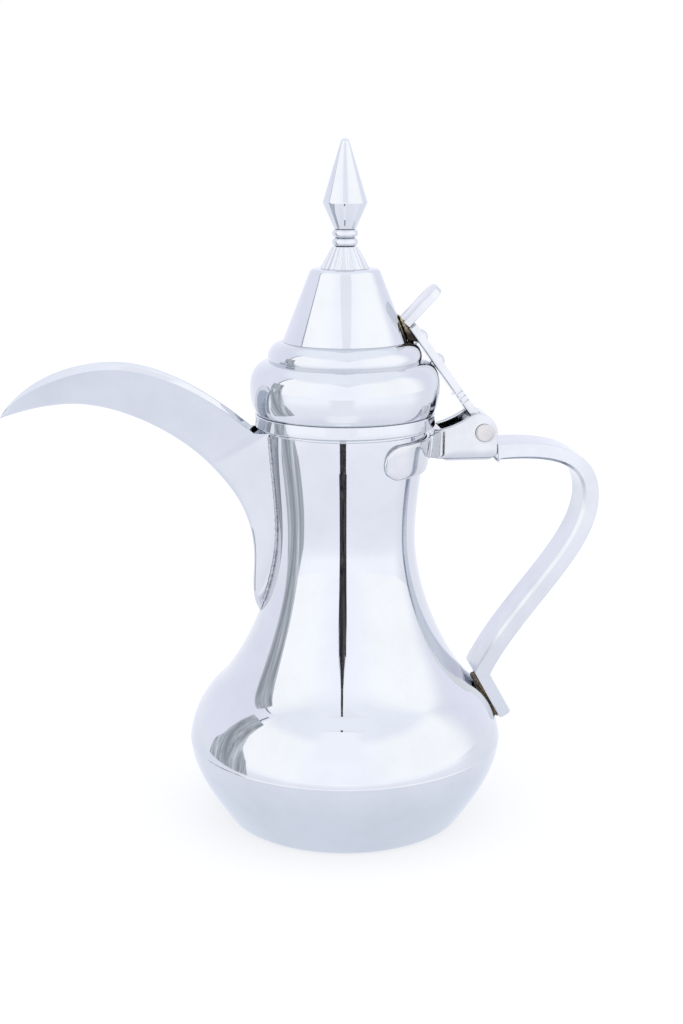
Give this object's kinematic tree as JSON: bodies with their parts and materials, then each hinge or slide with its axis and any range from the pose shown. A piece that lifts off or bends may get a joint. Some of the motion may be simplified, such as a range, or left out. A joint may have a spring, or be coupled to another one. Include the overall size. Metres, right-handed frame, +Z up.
{
  "type": "coffee pot",
  "caption": "tall waisted coffee pot in polished steel with a crescent spout, a hinged lid with a spire and thumb lever, and a strap handle",
  "frame": {"origin": "centre of the flat base, on the surface the pot stands on", "axes": "+Z up along the pot's axis, +X towards the handle and the hinge, -X towards the spout, +Y across the pot"},
  "size_m": [0.2594, 0.1396, 0.3],
  "materials": {
    "body_steel": "mirror-polished stainless steel sheet",
    "spout_steel": "mirror-polished stainless steel sheet",
    "lid_steel": "mirror-polished stainless steel sheet",
    "finial_steel": "polished turned steel",
    "cast_steel": "polished cast steel, slightly soft reflections",
    "handle_steel": "polished cast steel with fine scratches",
    "pin_steel": "dull ground pin heads",
    "weld_metal": "fine weld bead, lightly polished",
    "burnt_weld": "dark heat-stained weld",
    "braze": "yellowish brazing metal",
    "zinc_hardware": "plain fasteners inside the lid"
  },
  "bodies": {
    "root": {"body_shell": "body_steel", "base_bowl": "body_steel", "spout_left_half": "spout_steel", "spout_right_half": "spout_steel", "spout_weld": "weld_metal", "hinge_bracket": "cast_steel", "hinge_pin": "pin_steel", "handle": "handle_steel", "handle_root_weld": "weld_metal", "handle_foot_weld": "burnt_weld"},
    "lid": {"lid_rim": "lid_steel", "lid_dome": "lid_steel", "lid_cone": "lid_steel", "finial_collar": "finial_steel", "finial_beads": "finial_steel", "finial_spire": "finial_steel", "finial_stud": "zinc_hardware", "finial_washer": "zinc_hardware", "finial_nut": "zinc_hardware", "lid_lever": "cast_steel", "thumb_tab": "cast_steel", "lever_rivets": "cast_steel", "lever_braze": "braze"}
  },
  "joints": [
    {"name": "lid_hinge", "type": "hinge", "parent": "root", "child": "lid", "pos_m": [0.0599, 0, 0.175], "axis": [0, 1, 0], "range_deg": [0, 110]}
  ]
}
